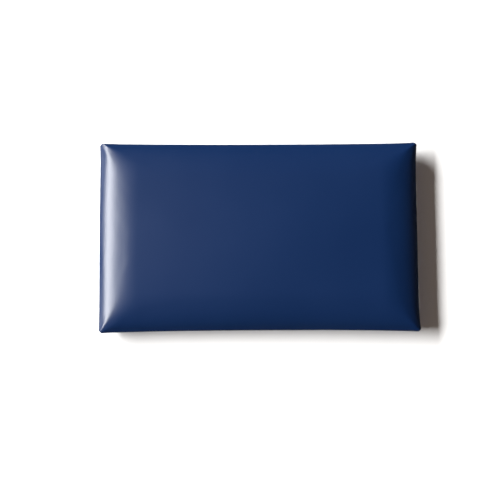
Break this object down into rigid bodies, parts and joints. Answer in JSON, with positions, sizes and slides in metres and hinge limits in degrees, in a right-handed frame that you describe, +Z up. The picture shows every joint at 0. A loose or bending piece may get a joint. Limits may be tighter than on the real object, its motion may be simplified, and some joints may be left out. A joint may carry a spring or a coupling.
{
  "type": "wall punch pad",
  "caption": "Rectangular crowned striking pad in one vinyl skin over layered foam and a plywood board, hung on a wall by hidden Z-rails and backed by rubber bumpers.",
  "frame": {"origin": "centre of the four outer wall screws, in the wall plane, behind the middle of the pad", "axes": "+X along the pad's length, +Y into the wall, +Z up; the pad's front faces -Y"},
  "size_m": [0.5, 0.059, 0.3],
  "materials": {
    "vinyl": "satin",
    "wadding": "matte",
    "face_foam": "matte",
    "core_foam": "matte",
    "base_foam": "matte",
    "plywood": "matte",
    "dust_cloth": "matte",
    "rail": "satin",
    "zinc": "satin",
    "rubber": "matte"
  },
  "bodies": {
    "wall_mount": {"wall_rail_top": "rail", "wall_rail_bottom": "rail"},
    "pad": {"cover": "vinyl", "wadding": "wadding", "foam_core": "core_foam", "foam_base": "base_foam", "backboard": "plywood", "cover_staples": "zinc", "dust_cover": "dust_cloth", "dust_staples": "zinc", "pad_rail_top": "rail", "pad_rail_bottom": "rail", "t_nuts": "zinc", "rail_screws": "zinc", "rail_washers": "zinc", "rattle_strips": "rubber", "bumpers": "rubber", "bumper_washers": "zinc", "bumper_screws": "zinc"},
    "face": {"foam_face": "face_foam"}
  },
  "joints": [
    {"name": "pad_lift", "type": "slide", "parent": "wall_mount", "child": "pad", "axis": [0, 0, 1], "range_m": [0, 0.014]},
    {"name": "strike_press", "type": "slide", "parent": "pad", "child": "face", "axis": [0, 1, 0], "range_m": [0, 0.013], "stiffness_N_per_m": 20000, "deforming": ["foam_core", "wadding", "cover"]}
  ]
}
